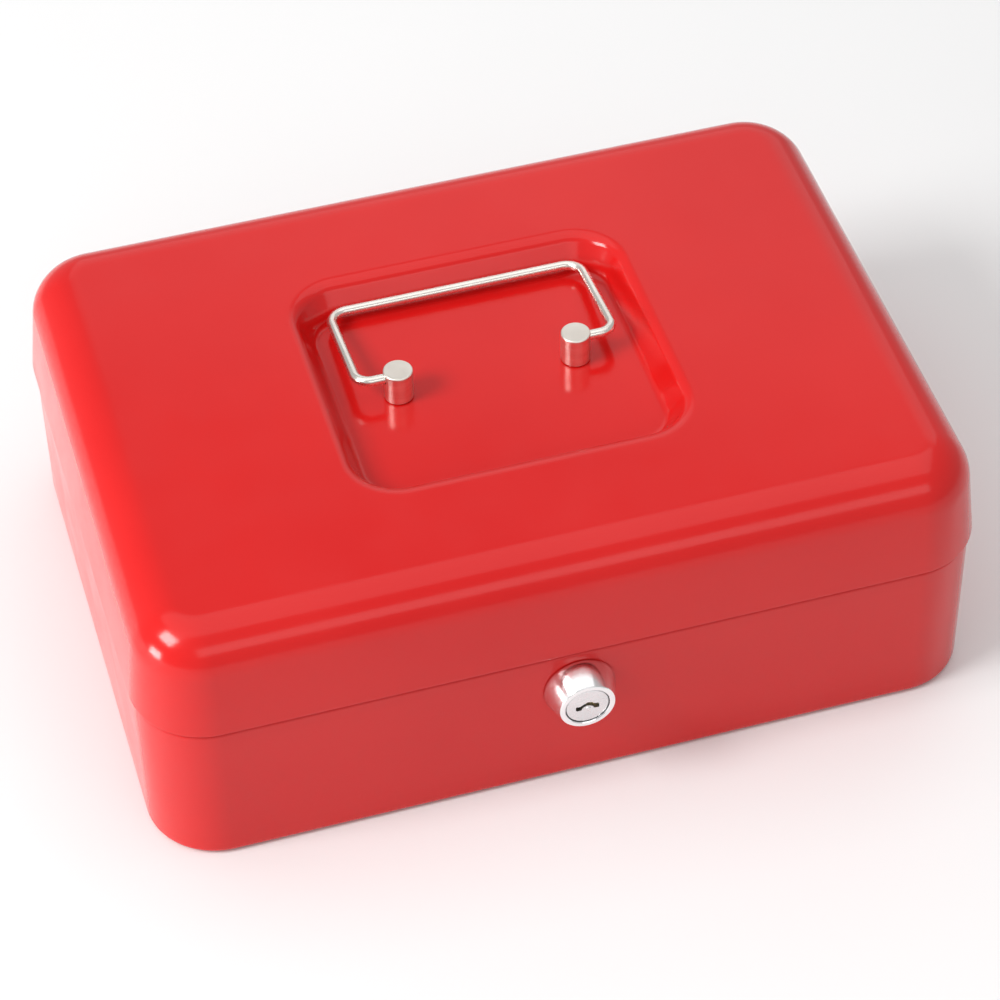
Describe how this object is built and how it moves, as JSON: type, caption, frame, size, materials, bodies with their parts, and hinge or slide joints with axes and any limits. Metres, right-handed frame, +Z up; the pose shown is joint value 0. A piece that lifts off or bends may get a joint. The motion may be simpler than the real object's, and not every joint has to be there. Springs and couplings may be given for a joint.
{
  "type": "cash box",
  "caption": "Rectangular steel cash box with a hinged lid, a folding wire handle in a recess, a cam lock on the front and a coin tray inside.",
  "frame": {"origin": "centre of the base's underside, on the surface the box stands on", "axes": "+X to the right along the front, +Y to the back, +Z up"},
  "size_m": [0.25, 0.1894, 0.0868],
  "materials": {
    "base_paint": "gloss red enamel",
    "lid_paint": "gloss red enamel",
    "nickel_wire": "nickel plate",
    "nickel_post": "nickel plate, turned",
    "lock_chrome": "chrome plate",
    "plug_chrome": "satin chrome plate",
    "zinc_steel": "zinc plate",
    "wafer_brass": "plain",
    "tray_plastic": "fine moulded texture"
  },
  "bodies": {
    "base": {"base_shell": "base_paint", "hinge_base_leaf_left": "zinc_steel", "hinge_base_leaf_right": "zinc_steel", "hinge_pin_left": "zinc_steel", "hinge_pin_right": "zinc_steel", "lock_body": "lock_chrome", "lock_washer": "zinc_steel", "lock_nut": "zinc_steel"},
    "lid": {"lid_shell": "lid_paint", "lid_strike": "zinc_steel", "hinge_lid_leaf_left": "zinc_steel", "hinge_lid_leaf_right": "zinc_steel", "handle_post_left": "nickel_post", "handle_post_right": "nickel_post", "post_washer_left": "zinc_steel", "post_washer_right": "zinc_steel", "post_screw_left": "zinc_steel", "post_screw_right": "zinc_steel"},
    "handle": {"handle": "nickel_wire"},
    "plug": {"lock_plug": "plug_chrome", "wafer_1": "wafer_brass", "wafer_2": "wafer_brass", "wafer_3": "wafer_brass", "wafer_4": "wafer_brass", "wafer_spring_1": "zinc_steel", "wafer_spring_2": "zinc_steel", "wafer_spring_3": "zinc_steel", "wafer_spring_4": "zinc_steel", "lock_cam": "zinc_steel", "cam_washer": "zinc_steel", "cam_screw": "zinc_steel"},
    "tray": {"coin_tray": "tray_plastic"}
  },
  "joints": [
    {"name": "lid_hinge", "type": "hinge", "parent": "base", "child": "lid", "pos_m": [0, 0.0894, 0.0525], "axis": [-1, 0, 0], "range_deg": [0, 100]},
    {"name": "handle_pivot", "type": "hinge", "parent": "lid", "child": "handle", "pos_m": [0, 0.0015, 0.0845], "axis": [1, 0, 0], "range_deg": [0, 196]},
    {"name": "lock_turn", "type": "hinge", "parent": "base", "child": "plug", "pos_m": [0, -0.089, 0.038], "axis": [0, 1, 0], "range_deg": [0, 90]},
    {"name": "tray_lift", "type": "slide", "parent": "base", "child": "tray", "axis": [0, 0, 1], "range_m": [0, 0.008]}
  ]
}
